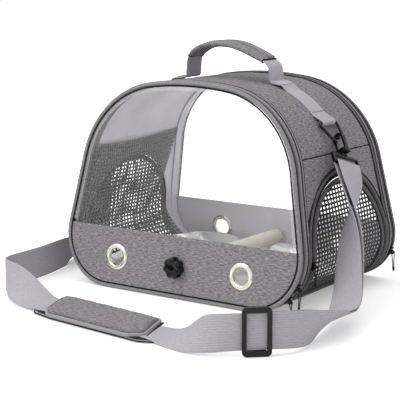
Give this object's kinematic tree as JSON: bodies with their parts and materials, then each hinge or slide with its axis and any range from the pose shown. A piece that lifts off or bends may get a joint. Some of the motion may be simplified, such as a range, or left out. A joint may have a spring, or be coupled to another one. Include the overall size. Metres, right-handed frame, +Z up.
{
  "type": "bird travel carrier",
  "caption": "Soft-sided bird travel carrier with clear zipped end doors, mesh side doors, a clamped perch, a lift-out tray, a carrying handle and a shoulder strap.",
  "frame": {"origin": "middle of the base, on the surface that the carrier stands on", "axes": "+X across the clear end doors, towards the right mesh door; -Y the front door with the perch knob; +Z up"},
  "size_m": [0.4772, 0.4038, 0.2892],
  "materials": {
    "roof_cloth": "woven",
    "side_cloth": "woven",
    "base_cloth": "woven",
    "door_cloth": "woven",
    "piping": "woven",
    "zipper": "matte",
    "film": "clear",
    "eyelet_metal": "polished",
    "mesh": "open",
    "binding": "woven",
    "tray_film": "mirror",
    "board": "matte",
    "perch_wood": "smooth",
    "steel": "satin",
    "knob_plastic": "gloss",
    "webbing": "woven",
    "grip_cloth": "woven",
    "black_metal": "satin",
    "black_cord": "braided",
    "pad_cloth": "woven",
    "black_plastic": "satin"
  },
  "bodies": {
    "carrier": {"top_panel": "roof_cloth", "left_side_panel": "side_cloth", "right_side_panel": "side_cloth", "base_panel": "base_cloth", "base_board": "board", "front_frame_piping": "piping", "rear_frame_piping": "piping", "front_zipper": "zipper", "rear_zipper": "zipper", "left_window_piping": "piping", "right_window_piping": "piping", "left_door_zipper": "zipper", "right_door_zipper": "zipper", "handle_webbing": "webbing", "handle_grip": "grip_cloth", "left_ring_strap": "webbing", "right_ring_strap": "webbing", "left_swivel_loop": "black_metal", "right_swivel_loop": "black_metal", "shoulder_strap": "webbing", "shoulder_strap_return": "webbing", "shoulder_pad": "pad_cloth"},
    "front_door": {"front_door_piping": "piping", "front_window": "film", "front_lower_panel": "door_cloth", "front_eyelets": "eyelet_metal", "perch_bolt": "steel", "perch_washer": "steel", "perch": "perch_wood"},
    "perch_knob": {"perch_knob": "knob_plastic"},
    "rear_door": {"rear_door_piping": "piping", "rear_window": "film", "rear_lower_panel": "door_cloth", "rear_eyelets": "eyelet_metal"},
    "floor_tray": {"floor_tray": "tray_film"},
    "strap_slider": {"strap_slider": "black_plastic"},
    "left_mesh_door": {"left_door_piping": "piping", "left_mesh_panel": "mesh", "left_door_binding": "binding"},
    "left_d_ring": {"left_d_ring": "black_metal"},
    "left_hook": {"left_hook": "black_metal"},
    "left_hook_gate": {"left_hook_gate": "black_metal"},
    "right_mesh_door": {"right_door_piping": "piping", "right_mesh_panel": "mesh", "right_door_binding": "binding"},
    "right_d_ring": {"right_d_ring": "black_metal"},
    "right_hook": {"right_hook": "black_metal"},
    "right_hook_gate": {"right_hook_gate": "black_metal"},
    "front_slider_upper": {"front_slider_upper": "black_metal"},
    "front_slider_lower": {"front_slider_lower": "black_metal"},
    "rear_slider": {"rear_slider": "black_metal"},
    "left_slider": {"left_slider": "black_metal"},
    "right_slider": {"right_slider": "black_metal"},
    "front_pull_upper": {"front_pull_upper": "black_cord"},
    "front_pull_lower": {"front_pull_lower": "black_cord"},
    "rear_pull": {"rear_pull": "black_cord"},
    "left_pull": {"left_pull": "black_cord"},
    "right_pull": {"right_pull": "black_cord"}
  },
  "joints": [
    {"name": "front_door_hinge", "type": "hinge", "parent": "carrier", "child": "front_door", "pos_m": [0, -0.118, 0], "axis": [1, 0, 0], "range_deg": [0, 60]},
    {"name": "rear_door_hinge", "type": "hinge", "parent": "carrier", "child": "rear_door", "pos_m": [0, 0.118, 0], "axis": [-1, 0, 0], "range_deg": [0, 90]},
    {"name": "perch_knob_spin", "type": "hinge", "parent": "front_door", "child": "perch_knob", "pos_m": [0, -0.118, 0.037], "axis": [0, 1, 0], "continuous": true},
    {"name": "right_mesh_door_hinge", "type": "hinge", "parent": "carrier", "child": "right_mesh_door", "pos_m": [0.14082, 0, 0.0143], "axis": [0, 1, 0], "range_deg": [0, 4.5]},
    {"name": "left_mesh_door_hinge", "type": "hinge", "parent": "carrier", "child": "left_mesh_door", "pos_m": [-0.14082, 0, 0.0143], "axis": [0, -1, 0], "range_deg": [0, 6.5]},
    {"name": "floor_tray_lift", "type": "slide", "parent": "carrier", "child": "floor_tray", "axis": [0, 0, 1], "range_m": [0, 0.009]},
    {"name": "front_slider_upper_travel", "type": "hinge", "parent": "carrier", "child": "front_slider_upper", "pos_m": [0.1025, -0.10305, 0.06206], "axis": [0, -0.993, 0.1184], "range_deg": [0, 33]},
    {"name": "front_slider_lower_travel", "type": "hinge", "parent": "carrier", "child": "front_slider_lower", "pos_m": [0.1025, -0.10305, 0.06206], "axis": [0, -0.993, 0.1184], "range_deg": [0, 5.5]},
    {"name": "rear_slider_travel", "type": "hinge", "parent": "carrier", "child": "rear_slider", "pos_m": [0.1025, 0.10305, 0.06206], "axis": [0, -0.993, -0.1184], "range_deg": [-4, 28]},
    {"name": "right_slider_travel", "type": "hinge", "parent": "carrier", "child": "right_slider", "pos_m": [0.1025, -0.08402, 0.06206], "axis": [0, -0.993, 0.1184], "range_deg": [-15, 9]},
    {"name": "left_slider_travel", "type": "hinge", "parent": "carrier", "child": "left_slider", "pos_m": [-0.1025, -0.08402, 0.06206], "axis": [0, 0.993, -0.1184], "range_deg": [-15, 9]},
    {"name": "front_pull_upper_swing", "type": "hinge", "parent": "front_slider_upper", "child": "front_pull_upper", "pos_m": [0.16139, -0.10675, 0.03097], "axis": [0, -0.993, 0.1184], "range_deg": [-4, 90]},
    {"name": "front_pull_lower_swing", "type": "hinge", "parent": "front_slider_lower", "child": "front_pull_lower", "pos_m": [0.15048, -0.10853, 0.01605], "axis": [0, -0.993, 0.1184], "range_deg": [-3, 30]},
    {"name": "rear_pull_swing", "type": "hinge", "parent": "rear_slider", "child": "rear_pull", "pos_m": [0.16343, 0.10626, 0.03512], "axis": [0, -0.993, -0.1184], "range_deg": [-4, 90]},
    {"name": "right_pull_swing", "type": "hinge", "parent": "right_slider", "child": "right_pull", "pos_m": [0.1687, -0.08497, 0.05399], "axis": [0, -0.993, 0.1184], "range_deg": [-4, 90]},
    {"name": "left_pull_swing", "type": "hinge", "parent": "left_slider", "child": "left_pull", "pos_m": [-0.1687, -0.08497, 0.05399], "axis": [0, 0.993, -0.1184], "range_deg": [-4, 90]},
    {"name": "right_d_ring_swing", "type": "hinge", "parent": "carrier", "child": "right_d_ring", "pos_m": [0.12994, 0, 0.20164], "axis": [0, -1, 0], "range_deg": [-1.5, 1.5]},
    {"name": "left_d_ring_swing", "type": "hinge", "parent": "carrier", "child": "left_d_ring", "pos_m": [-0.12994, 0, 0.20164], "axis": [0, 1, 0], "range_deg": [-1.5, 1.5]},
    {"name": "right_hook_swivel", "type": "hinge", "parent": "carrier", "child": "right_hook", "pos_m": [0.14662, -0.00043, 0.18288], "axis": [0.5197, -0.3626, -0.7736], "range_deg": [-10, 10]},
    {"name": "left_hook_swivel", "type": "hinge", "parent": "carrier", "child": "left_hook", "pos_m": [-0.14662, -0.00043, 0.18288], "axis": [-0.5197, -0.3626, -0.7736], "range_deg": [-10, 10]},
    {"name": "right_gate_hinge", "type": "hinge", "parent": "right_hook", "child": "right_hook_gate", "pos_m": [0.14888, -0.00554, 0.16857], "axis": [0.2022, 0.9319, -0.301], "range_deg": [0, 18], "stiffness_Nm_per_rad": 0.01, "springref_deg": -11.46},
    {"name": "left_gate_hinge", "type": "hinge", "parent": "left_hook", "child": "left_hook_gate", "pos_m": [-0.14888, -0.00554, 0.16857], "axis": [0.2022, -0.9319, 0.301], "range_deg": [0, 18], "stiffness_Nm_per_rad": 0.01, "springref_deg": -11.46},
    {"name": "strap_slider_travel", "type": "slide", "parent": "carrier", "child": "strap_slider", "axis": [0.74, 0.6727, 0], "range_m": [-0.003, 0.003]}
  ]
}
